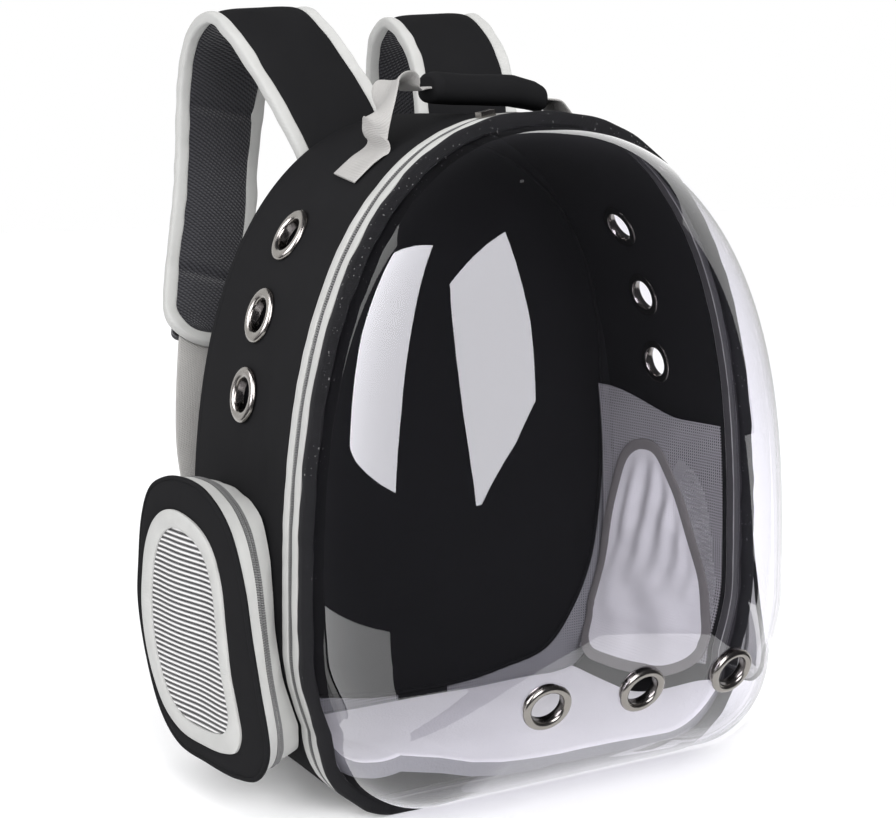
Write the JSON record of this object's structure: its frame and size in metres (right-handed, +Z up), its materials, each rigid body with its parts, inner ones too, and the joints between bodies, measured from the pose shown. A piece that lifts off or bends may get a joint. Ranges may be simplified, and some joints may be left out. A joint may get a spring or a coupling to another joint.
{
  "type": "pet carrier backpack",
  "caption": "Backpack for a small pet: arched black shell with a clear bulging dome, mesh side pockets with zips, vent eyelets, padded straps and a top handle.",
  "frame": {"origin": "middle of the shell's flat base", "axes": "+Z up, +X to the right of someone who looks at the dome, which faces -Y; the shoulder straps are on +Y"},
  "size_m": [0.4188, 0.4459, 0.4958],
  "materials": {
    "black_cloth": "matt woven polyester",
    "black_binding": "matt folded binding tape",
    "grey_tape": "light grey woven tape",
    "dark_coil": "dark zip coil on grey tape",
    "mat_cloth": "short soft pile",
    "pale_mesh": "open knitted net",
    "nickel": "warm nickel plate",
    "black_plastic": "moulded",
    "clear_sheet": "clear blown plastic sheet"
  },
  "bodies": {
    "root": {"shell_wall": "black_cloth", "back_panel": "black_cloth", "rim_binding": "black_binding", "zip_tape_front": "grey_tape", "zip_tape_rear": "grey_tape", "zip_coil": "dark_coil", "zip_slider": "nickel", "dome": "clear_sheet", "dome_eyelet_1": "nickel", "dome_eyelet_2": "nickel", "dome_eyelet_3": "nickel", "side_eyelet_left_1": "nickel", "side_eyelet_left_2": "nickel", "side_eyelet_left_3": "nickel", "side_eyelet_right_1": "nickel", "side_eyelet_right_2": "nickel", "side_eyelet_right_3": "nickel", "floor_mat": "mat_cloth", "inner_net_left": "pale_mesh", "pocket_band_inner_left": "grey_tape", "pocket_band_outer_left": "grey_tape", "pocket_trim_left": "grey_tape", "pocket_zip_left": "dark_coil", "pocket_face_left": "black_cloth", "pocket_mesh_left": "pale_mesh", "pocket_tab_left": "black_binding", "strap_pad_left": "black_cloth", "strap_binding_left": "grey_tape", "strap_webbing_left": "grey_tape", "strap_buckle_left": "black_plastic", "inner_net_right": "pale_mesh", "pocket_band_inner_right": "grey_tape", "pocket_band_outer_right": "grey_tape", "pocket_trim_right": "grey_tape", "pocket_zip_right": "dark_coil", "pocket_face_right": "black_cloth", "pocket_mesh_right": "pale_mesh", "pocket_tab_right": "black_binding", "strap_pad_right": "black_cloth", "strap_binding_right": "grey_tape", "strap_webbing_right": "grey_tape", "strap_buckle_right": "black_plastic", "handle_sleeve": "black_cloth", "handle_webbing": "grey_tape"}
  },
  "joints": []
}
